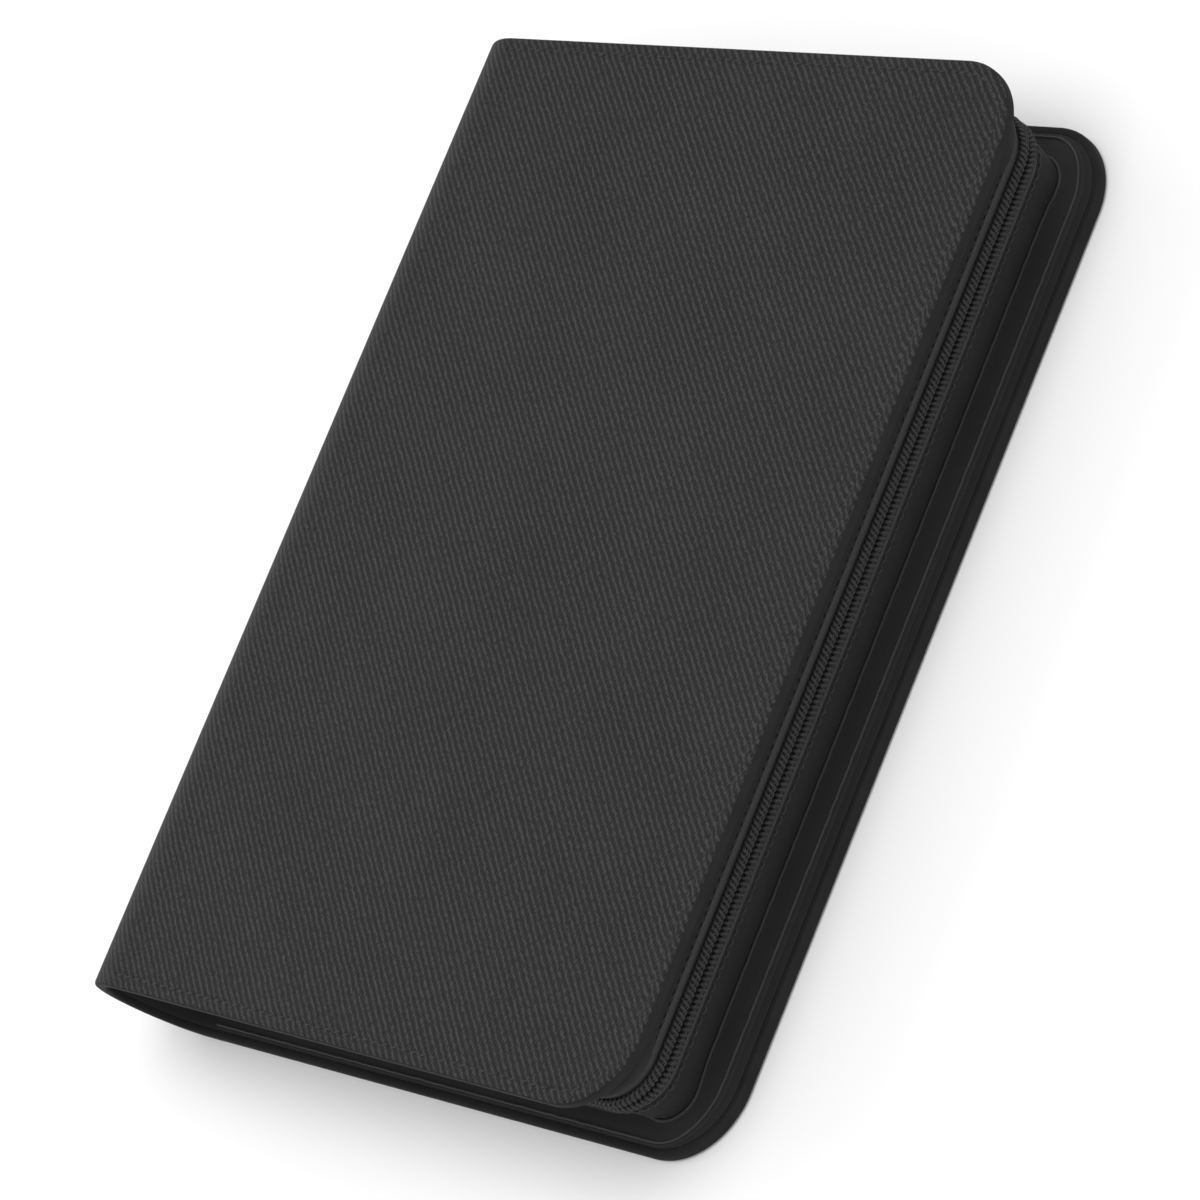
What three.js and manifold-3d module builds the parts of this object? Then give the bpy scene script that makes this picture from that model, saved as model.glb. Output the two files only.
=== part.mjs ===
// A zip-round trading card binder, closed: two stiff covers, a soft round spine, card pages and a coil zipper.
// The binder lies on its back cover. X runs from the spine to the fore-edge, Y from the bottom edge to the
// top edge and Z up from the back cover to the front cover. Every length is in millimetres.
import * as THREE from 'three';
import { mergeVertices } from 'three/addons/utils/BufferGeometryUtils.js';
import Module from 'manifold-3d';

// Overall sizes
const height = 249; // bottom edge to top edge
const closedThickness = 34.35; // outside of the back cover to outside of the front cover
const frontReach = 172.3; // spine fold to the front cover's fore-edge
const backReach = 174.6; // spine fold to the back cover's fore-edge

// Covers: leatherette skin turned over a stiff board, with a lining inside
const coverThickness = 3;
const coverCorner = 19.4;
const skinWall = 0.8;
const liningWall = 0.7;
const layerGap = 0.15;

// Spine: strips that fold against each other like the staves of a roll-top
const stripCount = 5;
const spineThickness = 3;
const spineSkinWall = 1.1;
const foldGap = 0.3;

// Zipper, running round the top, fore-edge and bottom between the covers
const zipInsetFore = 7.6; // front cover's fore-edge to the middle of the coil
const zipInsetEnds = 5.8; // top or bottom edge to the middle of the coil
const zipCorner = 12;
const zipStart = 4; // spine fold to the ends of tape and gusset
const coilStart = 18; // spine fold to the first coil turn
const coilWidth = 5.2; // over both rows
const coilDepth = 1.6;
const coilParting = 1; // between the two rows
const tapeWall = 0.5;
const tapeWidth = 4.6; // from the parting to the gusset seam
const gussetWall = 0.8;
const gussetLean = 2.6; // how much further in the gusset's foot is than the coil
const gussetBulge = 0.7; // how far the gusset stands out of a straight line
const seamGap = 0.3;

// Slider and pull tab
const sliderLength = 9.5;
const sliderPlate = 1.1;
const sliderPost = 0.4;
const sliderFlange = 0.7;
const sliderClearance = 0.3;
const sliderPark = 1.5; // from the end of the tape to the parked slider
const bailRise = 2.2;
const bailWire = 0.9;
const bailSpan = 5;
const tabLength = 24;
const tabWidth = 5;
const tabWall = 0.9;
const stopLength = 2.4;

// Card pages
const pageCount = 20;
const pageWall = 0.9; // over the filled pockets' welds
const filmWall = 0.3; // the bare sheet and its root
const pageMargin = 2.5; // between a page's edge and the gusset's foot
const pageRootGap = 0.95; // between the spine lining and a page's root
const pageFaceGap = 0.55; // between the outermost pages and the cover linings
const pageCorner = 5;
const rootLength = 15; // bare film between the root and the pockets
const pocketColumns = 2;
const pocketRows = 2;
const pocketMargin = 4;
const pocketWeld = 5;

const arcSteps = 8;

const spineRadius = closedThickness / 2;
const spineInner = spineRadius - spineThickness;
const middleZ = closedThickness / 2;
const liningTop = coverThickness;
const zipX = frontReach - zipInsetFore;
const stripTurn = Math.PI / stripCount;

const wasm = await Module();
wasm.setup();

const colours = {
  skin: 0x3a3a3b, lining: 0x232324, board: 0x5b5a57, padding: 0x4a4a4c, gusset: 0x242425,
  tape: 0x262627, coil: 0x2b2b2c, metal: 0x2f3032, page: 0x1d1d1f,
};

function finish(slot) {
  const metal = slot === 'metal';
  return new THREE.MeshStandardMaterial({
    color: colours[slot], roughness: metal ? 0.35 : 0.8, metalness: metal ? 0.9 : 0,
  });
}

function piece(name, slot, geometry) {
  const mesh = new THREE.Mesh(geometry, finish(slot));
  mesh.name = name;
  return mesh;
}

// Solids for cutting and joining
function solidOf(geometry) {
  const bare = geometry.clone();
  for (const attribute of ['normal', 'uv']) bare.deleteAttribute(attribute);
  const merged = mergeVertices(bare, 1e-4);
  return new wasm.Manifold(new wasm.Mesh({
    numProp: 3,
    vertProperties: new Float32Array(merged.attributes.position.array),
    triVerts: new Uint32Array(merged.index.array),
  }));
}

function geometryOf(solid) {
  const mesh = solid.getMesh();
  const geometry = new THREE.BufferGeometry();
  geometry.setAttribute('position', new THREE.BufferAttribute(mesh.vertProperties, 3));
  geometry.setIndex(new THREE.BufferAttribute(mesh.triVerts, 1));
  geometry.computeVertexNormals();
  return geometry;
}

function joined(geometries) {
  return geometryOf(geometries.map(solidOf).reduce((whole, part) => whole.add(part)));
}

function cut(geometry, ...tools) {
  return geometryOf(tools.map(solidOf).reduce((whole, tool) => whole.subtract(tool), solidOf(geometry)));
}

// A block between two corners
function block([x0, y0, z0], [x1, y1, z1]) {
  return new THREE.BoxGeometry(x1 - x0, y1 - y0, z1 - z0)
    .translate((x0 + x1) / 2, (y0 + y1) / 2, (z0 + z1) / 2);
}

// A plate between two heights
function plate(shape, z0, z1) {
  return new THREE.ExtrudeGeometry(shape, {
    depth: z1 - z0, bevelEnabled: false, curveSegments: arcSteps,
  }).translate(0, 0, z0);
}

// A rectangle whose two fore-edge corners are round
function leafOutline(x0, y0, x1, y1, corner) {
  const shape = new THREE.Shape();
  shape.moveTo(x0, y0);
  shape.lineTo(x1 - corner, y0);
  shape.absarc(x1 - corner, y0 + corner, corner, -Math.PI / 2, 0, false);
  shape.lineTo(x1, y1 - corner);
  shape.absarc(x1 - corner, y1 - corner, corner, 0, Math.PI / 2, false);
  shape.lineTo(x0, y1);
  shape.closePath();
  return shape;
}

function coverOutline(reach, inset) {
  return leafOutline(foldGap / 2, inset, reach - inset, height - inset, coverCorner - inset);
}

// One cover is laid from its outside inwards; side is 1 for the back cover and -1 for the front cover,
// which is the same stack seen from above.
function layer(shape, depth0, depth1, side) {
  return side > 0
    ? plate(shape, depth0, depth1)
    : plate(shape, closedThickness - depth1, closedThickness - depth0);
}

function coverSkin(reach, side) {
  const tray = layer(coverOutline(reach, 0), 0, coverThickness, side);
  const hollow = layer(
    leafOutline(-foldGap, skinWall, reach - skinWall, height - skinWall, coverCorner - skinWall),
    skinWall, coverThickness + foldGap, side,
  );
  return cut(tray, hollow);
}

function coverBoard(reach, side) {
  return layer(coverOutline(reach, skinWall + layerGap), skinWall + layerGap,
    coverThickness - liningWall - layerGap, side);
}

function coverLining(reach, side) {
  return layer(coverOutline(reach, skinWall + layerGap), coverThickness - liningWall, coverThickness, side);
}

// A curved stave of the spine between two radii. Stave 0 meets the back cover and the last meets the front.
function spineStave(index, outer, inner) {
  const trim = foldGap / 2 / spineRadius;
  const low = 1.5 * Math.PI - index * stripTurn - trim;
  const high = 1.5 * Math.PI - (index + 1) * stripTurn + trim;
  const shape = new THREE.Shape();
  shape.absarc(0, middleZ, outer, low, high, true);
  shape.absarc(0, middleZ, inner, high, low, false);
  shape.closePath();
  return new THREE.ExtrudeGeometry(shape, {
    depth: height, bevelEnabled: false, curveSegments: arcSteps,
  }).rotateX(Math.PI / 2).translate(0, height, 0);
}

// Places along the zipper line: bottom edge outwards, fore-edge upwards, top edge back to the spine
function zipStations(startX) {
  const stations = [{ x: startX, y: zipInsetEnds, inX: 0, inY: 1 }];
  const arcs = [
    { y: zipInsetEnds + zipCorner, from: -Math.PI / 2 },
    { y: height - zipInsetEnds - zipCorner, from: 0 },
  ];
  for (const { y, from } of arcs) {
    for (let i = 0; i <= arcSteps; i++) {
      const angle = from + (i / arcSteps) * (Math.PI / 2);
      stations.push({
        x: zipX - zipCorner + zipCorner * Math.cos(angle), y: y + zipCorner * Math.sin(angle),
        inX: -Math.cos(angle), inY: -Math.sin(angle),
      });
    }
  }
  stations.push({ x: startX, y: height - zipInsetEnds, inX: 0, inY: -1 });
  return stations;
}

// A section of [distance inwards from the zipper line, height] points carried round the zipper line.
// The section runs clockwise with its distances drawn to the right and its heights drawn up.
function alongZip(section, startX) {
  const rings = zipStations(startX).map(({ x, y, inX, inY }) =>
    section.map(([inward, z]) => [x + inX * inward, y + inY * inward, z]));
  const count = section.length;
  const indices = [];
  for (let r = 0; r + 1 < rings.length; r++) {
    for (let i = 0; i < count; i++) {
      const a = r * count + i;
      const b = r * count + ((i + 1) % count);
      indices.push(a, a + count, b, b, a + count, b + count);
    }
  }
  const contour = section.map(([inward, z]) => new THREE.Vector2(inward, z));
  const last = (rings.length - 1) * count;
  for (const [a, b, c] of THREE.ShapeUtils.triangulateShape(contour, [])) {
    indices.push(a, c, b, last + a, last + b, last + c);
  }
  const geometry = new THREE.BufferGeometry();
  geometry.setAttribute('position', new THREE.Float32BufferAttribute(rings.flat(2), 3));
  geometry.setIndex(indices);
  geometry.computeVertexNormals();
  return geometry;
}

// The same section for the front cover's half of the zipper
function frontHalf(section) {
  return section.map(([inward, z]) => [inward, closedThickness - z]).reverse();
}

function onHalf(section, side) {
  return side > 0 ? section : frontHalf(section);
}

const coilBack = coilDepth / 2 + layerGap; // the coil lies on the tape's outer face
const tapeFoot = middleZ - coilParting / 2 - tapeWidth;

function zipCoil(side) {
  const low = middleZ - coilWidth / 2;
  const high = middleZ - coilParting / 2;
  return alongZip(onHalf([
    [-coilDepth / 2, low], [-coilDepth / 2, high], [coilDepth / 2, high], [coilDepth / 2, low],
  ], side), coilStart);
}

function zipTape(side) {
  const high = middleZ - coilParting / 2;
  return alongZip(onHalf([
    [coilBack, tapeFoot], [coilBack, high], [coilBack + tapeWall, high], [coilBack + tapeWall, tapeFoot],
  ], side), zipStart);
}

// The gusset leans in from the tape's seam to its foot on the cover lining, with a slight outward belly
function zipGusset(side) {
  const top = tapeFoot - seamGap;
  const foot = liningTop + seamGap;
  const belly = (top + foot) / 2;
  const bellyIn = coilBack + gussetLean / 2 - gussetBulge;
  const footIn = coilBack + gussetLean;
  return alongZip(onHalf([
    [footIn, foot], [bellyIn, belly], [coilBack, top],
    [coilBack + gussetWall, top], [bellyIn + gussetWall, belly], [footIn + gussetWall, foot],
  ], side), zipStart);
}

// The slider straddles the parting on the top edge. Its front plate faces +Y, and a thin post joins the plates.
const zipTopY = height - zipInsetEnds;
const sliderX0 = zipStart + sliderPark;
const sliderX1 = sliderX0 + sliderLength;
const sliderHalf = coilWidth / 2 + sliderClearance + sliderFlange;
const frontPlateY = zipTopY + coilDepth / 2 + sliderClearance;
const backPlateY = zipTopY - coilBack - tapeWall - sliderClearance;
const bailX = (sliderX0 + sliderX1) / 2;
const bailTop = frontPlateY + sliderPlate + bailRise;

function zipSlider() {
  const flangeLow = sliderHalf - sliderFlange;
  const flangeY = zipTopY - coilBack + sliderClearance;
  const front = block([sliderX0, frontPlateY, middleZ - sliderHalf],
    [sliderX1, frontPlateY + sliderPlate, middleZ + sliderHalf]);
  const back = block([sliderX0, backPlateY - sliderPlate, middleZ - sliderHalf],
    [sliderX1, backPlateY, middleZ + sliderHalf]);
  const post = block([sliderX0 + sliderFlange, backPlateY - sliderPlate / 2, middleZ - sliderPost / 2],
    [sliderX0 + sliderLength * 0.4, frontPlateY + sliderPlate / 2, middleZ + sliderPost / 2]);
  const flanges = [-1, 1].map((way) => block(
    [sliderX0, flangeY, middleZ + (way > 0 ? flangeLow : -sliderHalf)],
    [sliderX1, frontPlateY + sliderPlate / 2, middleZ + (way > 0 ? sliderHalf : -flangeLow)],
  ));
  // The bail is a low bridge that the pull tab hooks through
  const bridge = block([bailX - bailSpan / 2, frontPlateY + sliderPlate / 2, middleZ - bailWire / 2],
    [bailX + bailSpan / 2, bailTop, middleZ + bailWire / 2]);
  const eye = block(
    [bailX - bailSpan / 2 + bailWire, frontPlateY + sliderPlate, middleZ - bailWire],
    [bailX + bailSpan / 2 - bailWire, bailTop - bailWire, middleZ + bailWire],
  );
  return cut(joined([front, back, post, ...flanges, bridge]), eye);
}

// The tab lies along +X over the coil; its cross bar runs through the bail's eye
const tabAxisY = frontPlateY + sliderPlate + (bailRise - bailWire) / 2;
const tabAxisX = bailX;

function pullTab() {
  const barHalf = bailRise / 2 - bailWire / 2 - 0.2;
  const armIn = bailWire / 2 + sliderClearance;
  const bodyX = tabAxisX + Math.hypot(bailSpan / 2, bailTop - tabAxisY) + sliderClearance; // swings past the bail
  const bar = block([tabAxisX - barHalf, tabAxisY - barHalf, middleZ - tabWidth / 2],
    [tabAxisX + barHalf, tabAxisY + barHalf, middleZ + tabWidth / 2]);
  const arms = [-1, 1].map((way) => block(
    [tabAxisX - barHalf, tabAxisY - barHalf, middleZ + (way > 0 ? armIn : -tabWidth / 2)],
    [bodyX + barHalf, tabAxisY + barHalf, middleZ + (way > 0 ? tabWidth / 2 : -armIn)],
  ));
  const grip = new THREE.Shape();
  const gripEnd = tabAxisX + tabLength;
  const round = tabWidth / 2;
  grip.moveTo(bodyX, -round);
  grip.lineTo(gripEnd - round, -round);
  grip.absarc(gripEnd - round, 0, round, -Math.PI / 2, Math.PI / 2, false);
  grip.lineTo(bodyX, round);
  grip.closePath();
  const body = new THREE.ExtrudeGeometry(grip, {
    depth: tabWall, bevelEnabled: false, curveSegments: arcSteps,
  }).rotateX(Math.PI / 2).translate(0, tabAxisY + tabWall / 2, middleZ);
  return joined([bar, ...arms, body]);
}

// A crimped stop after the last coil turn at the bottom edge
function endStop(side) {
  const low = middleZ - coilWidth / 2;
  const high = middleZ - coilParting / 2;
  const [z0, z1] = side > 0 ? [low, high] : [closedThickness - high, closedThickness - low];
  const x1 = coilStart - seamGap;
  return block([x1 - stopLength, zipInsetEnds - coilDepth / 2, z0], [x1, zipInsetEnds + coilDepth / 2, z1]);
}

// Pages: a bare sheet with welded pockets, rooted on the inside of the spine
const pagePitch = (closedThickness - 2 * liningTop - 2 * pageFaceGap) / pageCount;
const pageEnd = zipX - coilBack - gussetLean - gussetWall - pageMargin;
const pageInset = zipInsetEnds + coilBack + gussetLean + gussetWall + pageMargin;
const rootRadius = spineInner - pageRootGap;

function pageMiddle(index) {
  return liningTop + pageFaceGap + (index + 0.5) * pagePitch;
}

function pageRootX(index) {
  const rise = pageMiddle(index) - middleZ;
  return -Math.sqrt(rootRadius ** 2 - rise ** 2);
}

function cardPage(index) {
  const z = pageMiddle(index);
  const sheet = plate(
    leafOutline(pageRootX(index), pageInset, pageEnd, height - pageInset, pageCorner),
    z - filmWall / 2, z + filmWall / 2,
  );
  const x0 = rootLength - spineRadius + pocketMargin;
  const wide = (pageEnd - pocketMargin - x0 - (pocketColumns - 1) * pocketWeld) / pocketColumns;
  const tall = (height - 2 * pageInset - 2 * pocketMargin - (pocketRows - 1) * pocketWeld) / pocketRows;
  const pockets = [];
  for (let column = 0; column < pocketColumns; column++) {
    for (let row = 0; row < pocketRows; row++) {
      const x = x0 + column * (wide + pocketWeld);
      const y = pageInset + pocketMargin + row * (tall + pocketWeld);
      pockets.push(block([x, y, z - pageWall / 2], [x + wide, y + tall, z + pageWall / 2]));
    }
  }
  return joined([sheet, ...pockets]);
}

// The whole binder
const binder = new THREE.Group();

for (const [cover, reach, side] of [['back', backReach, 1], ['front', frontReach, -1]]) {
  binder.add(
    piece(`${cover}_cover_skin`, 'skin', coverSkin(reach, side)),
    piece(`${cover}_cover_board`, 'board', coverBoard(reach, side)),
    piece(`${cover}_cover_lining`, 'lining', coverLining(reach, side)),
    piece(`${cover}_gusset`, 'gusset', zipGusset(side)),
    piece(`${cover}_zip_tape`, 'tape', zipTape(side)),
    piece(`${cover}_zip_coil`, 'coil', zipCoil(side)),
    piece(`${cover}_end_stop`, 'metal', endStop(side)),
  );
}

for (let i = 0; i < stripCount; i++) {
  const skinInner = spineRadius - spineSkinWall;
  binder.add(
    piece(`spine_skin_${i + 1}`, 'skin', spineStave(i, spineRadius, skinInner)),
    piece(`spine_padding_${i + 1}`, 'padding', spineStave(i, skinInner - layerGap, spineInner)),
  );
}

for (let i = 0; i < pageCount; i++) {
  binder.add(piece(`page_${String(i + 1).padStart(2, '0')}`, 'page', cardPage(i)));
}

binder.add(piece('zip_slider', 'metal', zipSlider()), piece('pull_tab', 'metal', pullTab()));

// The origin is under the middle of the closed binder
binder.position.set(-(backReach - spineRadius) / 2, -height / 2, 0);

export default binder;
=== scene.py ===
"""A zip-round trading card binder, lying closed on its back cover.

Shapes are worked out in millimetres in the binder's own frame: x from the spine fold to the fore-edge,
y from the bottom edge to the top edge, z up from the outside of the back cover. piece() brings them
into the row frame.
"""
import math
import random

import bmesh
import bpy
from mathutils import Matrix, Vector, noise

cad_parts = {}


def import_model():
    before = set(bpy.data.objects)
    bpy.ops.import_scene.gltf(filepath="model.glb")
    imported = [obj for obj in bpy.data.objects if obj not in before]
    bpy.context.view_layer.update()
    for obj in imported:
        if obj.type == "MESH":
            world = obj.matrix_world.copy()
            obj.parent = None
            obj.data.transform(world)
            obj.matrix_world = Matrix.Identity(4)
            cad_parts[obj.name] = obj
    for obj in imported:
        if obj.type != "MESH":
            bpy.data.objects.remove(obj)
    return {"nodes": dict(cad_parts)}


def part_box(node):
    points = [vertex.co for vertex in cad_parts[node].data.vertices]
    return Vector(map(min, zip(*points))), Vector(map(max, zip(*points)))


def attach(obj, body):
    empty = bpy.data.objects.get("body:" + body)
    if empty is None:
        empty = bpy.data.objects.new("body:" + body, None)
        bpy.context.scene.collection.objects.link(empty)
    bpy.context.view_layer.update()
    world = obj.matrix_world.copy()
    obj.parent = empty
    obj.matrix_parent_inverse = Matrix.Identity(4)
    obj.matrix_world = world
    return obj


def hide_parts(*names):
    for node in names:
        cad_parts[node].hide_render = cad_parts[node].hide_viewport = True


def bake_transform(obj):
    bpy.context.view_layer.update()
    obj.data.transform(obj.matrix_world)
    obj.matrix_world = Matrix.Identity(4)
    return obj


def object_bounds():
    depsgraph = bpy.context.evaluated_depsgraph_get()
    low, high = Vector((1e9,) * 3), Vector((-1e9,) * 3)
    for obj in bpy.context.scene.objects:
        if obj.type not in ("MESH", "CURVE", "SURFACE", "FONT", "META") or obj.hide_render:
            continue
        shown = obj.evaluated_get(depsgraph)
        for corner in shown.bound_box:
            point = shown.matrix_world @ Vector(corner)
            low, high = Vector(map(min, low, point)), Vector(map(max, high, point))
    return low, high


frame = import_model()
cad_low, cad_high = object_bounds()

# Camera
AZIMUTH = 74.46  # degrees, 0 looks along +Y
ELEVATION = 40.33
ROLL = -57.50
DISTANCE = 1.2296  # metres
LENS = 161.66
SENSOR = 36.0
AIM = (0.0032, -0.0055, 0.0116)

MM = 0.001
RIB_PITCH = 1.62  # millimetres between the ribs of the embossing
YARN_PITCH = 0.95  # and between the yarns that cross each rib

# Sizes that the CAD model fixes
HEIGHT = (cad_high.y - cad_low.y) / MM
THICKNESS = (cad_high.z - cad_low.z) / MM
RADIUS = THICKNESS / 2  # of the round spine
MIDDLE = THICKNESS / 2
FOLD_X = cad_low.x + RADIUS * MM
BACK_REACH = (cad_high.x - FOLD_X) / MM
FRONT_REACH = (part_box("front_cover_skin")[1].x - FOLD_X) / MM
COVER = (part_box("back_cover_skin")[1].z - cad_low.z) / MM
SKIN_WALL = 0.8
LINING_DEPTH = 2.3  # from the outer face to the underside of the lining
LINING_INSET = 1.95  # from a cover's edge
CORNER = 19.4
STRIPS = 5
STRIP = math.pi * RADIUS / STRIPS  # one spine strip, along the outside of the arc

# Zipper line, as in the CAD model
COIL_HALF = 0.8  # half of the CAD coil's depth
ZIP_X = (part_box("back_zip_coil")[1].x - FOLD_X) / MM - COIL_HALF
ZIP_Y = (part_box("back_zip_coil")[0].y - cad_low.y) / MM + COIL_HALF
ZIP_CORNER = 12.0
ZIP_START = 4.0
COIL_START = 18.0
TAPE_IN = 0.95  # from the zipper line to the tape's outer face
TAPE_FOOT = (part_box("back_zip_tape")[0].z - cad_low.z) / MM
TAPE_WALL = 0.5

# Outside seams
WRAP_END = 10.0  # how far the spine's leatherette piece reaches onto each cover
GROOVE_ENDS = 3.1  # sewing line, from the top and bottom edges
GROOVE_FORE = 2.7
GROOVE_DEPTH = 0.3
CREASE_X = 4.6  # where the cover's board begins
CREASE_DEPTH = 0.07
STITCH_PITCH = 3.3
STITCH_LENGTH = 2.5
STITCH_GAP = (STITCH_PITCH - STITCH_LENGTH) / 2
STITCH_SLANT = 0.3  # sideways, at each end of a stitch
STITCH_DEPTH = 0.22  # of the line that a stitch follows, below the outer face
STITCH_SINK = 0.3  # how far its ends lie below that line
STITCH_ARCH = 0.42  # how far its middle stands above its ends
THREAD = 0.25  # radius
BLEND_HALF = 3.2  # distance to either side of a spine fold

# Gusset
FLANGE_ENDS = 2.2  # outer edge of the flange on the lining, from the top and bottom edges
FLANGE_FORE = 4.4
SEAM_ENDS = 3.0  # sewing line of the flange
SEAM_FORE = 5.9
SEAM_CORD = 0.24  # radius of the raised seam there
FOOT_CORD = 0.34  # and of the one along the gusset's foot
GUSSET_WALL = 0.7
GUSSET_FOOT_IN = 3.55
WALL_FOOT_Z = 3.55
WALL_HEM_Z = TAPE_FOOT + 0.45
WALL_FROM = 3.4  # the height where the wall's puckers and bulges begin
WALL_HIGH = 9.5  # and how far up from there they reach
CORNER_BULGE = 2.6  # how far the front gusset's cloth bunches outwards at a corner
CORNER_CORE = 1.5  # along the zipper line from a corner's middle: the bulge is whole within the core
CORNER_SPREAD = 15.0
FOOT_SPREAD = 1.4  # how far the back gusset's foot stands out at a corner
HEM_PITCH = 2.6
HEM_STITCH = 1.9  # length

# The flange's relief: (share of the way from its outer edge to the foot, height above the lining)
FLANGE_RELIEF = (
    (0.0, 0.1), (0.012, 0.19), (0.03, 0.22), (0.06, 0.23), (0.14, 0.23), (0.2, 0.17), (0.28, 0.28),
    (0.55, 0.3), (0.8, 0.3), (0.86, 0.5), (0.91, 0.62), (0.955, 0.46), (0.985, 0.3),
)

# Zipper coil
COIL_PITCH = 1.3
WIRE = 0.43  # radius
FILLER = 0.4  # radius of the cord inside the turns
COIL_THREAD = 0.1  # radius of the two threads that hold a coil on its tape
HEAD_GAP = 0.32  # from the parting to a coil head
COIL_BACK_Z = 2.45  # from the parting to a coil's back


def camera():
    data = bpy.data.cameras.new("camera")
    data.sensor_width, data.lens = SENSOR, LENS
    data.clip_start, data.clip_end = 0.01, 100
    a, e, r = (math.radians(x) for x in (AZIMUTH, ELEVATION, ROLL))
    back = Vector((math.sin(a) * math.cos(e), -math.cos(a) * math.cos(e), math.sin(e)))
    level = Vector((math.cos(a), math.sin(a), 0))
    upright = back.cross(level)
    right = level * math.cos(r) + upright * math.sin(r)
    up = upright * math.cos(r) - level * math.sin(r)
    made = bpy.data.objects.new("camera", data)
    axes = Matrix((right, up, back)).transposed().to_4x4()
    made.matrix_world = Matrix.Translation(Vector(AIM) + back * DISTANCE) @ axes
    bpy.context.scene.collection.objects.link(made)
    bpy.context.scene.camera = made


camera()


# ---------------------------------------------------------------- materials

class Nodes:
    """A material's node tree, with short calls for the nodes that it needs."""

    def __init__(self, name, **inputs):
        self.material = bpy.data.materials.new(name)
        self.material.use_nodes = True
        self.tree = self.material.node_tree
        self.shader = self.tree.nodes["Principled BSDF"]
        for key, value in inputs.items():
            self.shader.inputs[key.replace("_", " ")].default_value = value

    def node(self, kind, **settings):
        made = self.tree.nodes.new("ShaderNode" + kind)
        for key, value in settings.items():
            setattr(made, key, value)
        return made

    def link(self, value, socket):
        if isinstance(value, bpy.types.NodeSocket):
            self.tree.links.new(value, socket)
        else:
            socket.default_value = value

    def uv(self):
        """Cloth coordinates in millimetres, from the mesh's flat pattern."""
        return self.scaled(self.node("UVMap").outputs[0], 1 / MM)

    def place(self):
        """Coordinates in millimetres on a stiff piece."""
        return self.scaled(self.node("TexCoord").outputs["Object"], 1 / MM)

    def scaled(self, vector, by):
        made = self.node("VectorMath", operation="MULTIPLY")
        self.link(vector, made.inputs[0])
        made.inputs[1].default_value = by if hasattr(by, "__len__") else (by, by, by)
        return made.outputs[0]

    def turned(self, vector, degrees):
        made = self.node("VectorRotate", rotation_type="Z_AXIS")
        self.link(vector, made.inputs["Vector"])
        made.inputs["Angle"].default_value = math.radians(degrees)
        return made.outputs[0]

    def dot(self, vector, way):
        made = self.node("VectorMath", operation="DOT_PRODUCT")
        self.link(vector, made.inputs[0])
        made.inputs[1].default_value = way
        return made.outputs["Value"]

    def math(self, operation, a, b=0.0, c=0.0):
        made = self.node("Math", operation=operation)
        for value, socket in zip((a, b, c), made.inputs):
            self.link(value, socket)
        return made.outputs[0]

    def noise(self, vector, scale, detail=2.0, roughness=0.5):
        made = self.node("TexNoise")
        self.link(vector, made.inputs["Vector"])
        made.inputs["Scale"].default_value = scale
        made.inputs["Detail"].default_value = detail
        made.inputs["Roughness"].default_value = roughness
        return made.outputs["Fac"]

    def wave(self, phase):
        """0 to 1 and back, once for each whole number of phase."""
        turn = self.math("MULTIPLY", phase, math.tau)
        return self.math("MULTIPLY_ADD", self.math("SINE", turn), 0.5, 0.5)

    def between(self, value, low, high, to_low, to_high):
        made = self.node("MapRange", clamp=True)
        self.link(value, made.inputs["Value"])
        ends = {"From Min": low, "From Max": high, "To Min": to_low, "To Max": to_high}
        for key, number in ends.items():
            made.inputs[key].default_value = number
        return made.outputs["Result"]

    def colours(self, value, *stops):
        made = self.node("ValToRGB")
        self.link(value, made.inputs["Fac"])
        ramp = made.color_ramp
        while len(ramp.elements) < len(stops):
            ramp.elements.new(0.5)
        for element, (at, colour) in zip(ramp.elements, stops):
            element.position, element.color = at, (*colour, 1)
        return made.outputs["Color"]

    def finish(self, colour=None, roughness=None, height=None, depth=0.1):
        """depth is the height of the relief in millimetres."""
        if colour is not None:
            self.link(colour, self.shader.inputs["Base Color"])
        if roughness is not None:
            self.link(roughness, self.shader.inputs["Roughness"])
        if height is not None:
            bump = self.node("Bump")
            bump.inputs["Strength"].default_value = 1.0
            bump.inputs["Distance"].default_value = depth * MM
            self.link(height, bump.inputs["Height"])
            self.link(bump.outputs[0], self.shader.inputs["Normal"])
        return self.material


def grey(level, tint=0.0):
    return level, level, level * (1 + tint)


def leatherette():
    """Embossed with ribs at 45 degrees, whose crests are crossed by yarns and broken by a fine grain."""
    n = Nodes("leatherette", Specular_IOR_Level=0.12)
    at = n.uv()
    turned = n.turned(at, 45)  # x along the ribs, y across them
    drift = n.noise(at, 0.22, 2)
    jitter = n.noise(at, 1.1, 3, 0.6)
    across = n.math("MULTIPLY", n.dot(turned, (0, 1, 0)), 1 / RIB_PITCH)
    phase = n.math("ADD", across, n.math("MULTIPLY", n.math("ADD", drift, jitter), 0.45))
    crest = n.math("POWER", n.wave(phase), 1.6)
    along = n.math("MULTIPLY", n.dot(turned, (1, 0, 0)), 1 / YARN_PITCH)
    yarn = n.wave(n.math("ADD", along, n.math("MULTIPLY", phase, 0.5)))
    grain = n.noise(n.scaled(turned, (0.85, 1.7, 1)), 1.0, 4, 0.75)
    wide = n.noise(at, 0.03, 2)
    broken = n.math("MULTIPLY", crest, n.between(grain, 0.36, 0.62, 0.3, 1.0))
    height = n.math("MULTIPLY_ADD", broken, 0.55, n.math("MULTIPLY_ADD", yarn, 0.15, grain))
    # The colour follows the relief of ribs, yarns and grain: painted shade in its hollows and a painted
    # highlight on its crests, plus a slow random change of tone.
    tone = n.math("ADD", height, n.math("MULTIPLY_ADD", wide, 0.12, -0.06))
    colour = n.colours(tone, (0.42, grey(0.006)), (0.72, grey(0.0195)), (1.0, grey(0.056)))
    return n.finish(colour, n.between(grain, 0.3, 0.7, 0.52, 0.68), height, 0.26)


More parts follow.
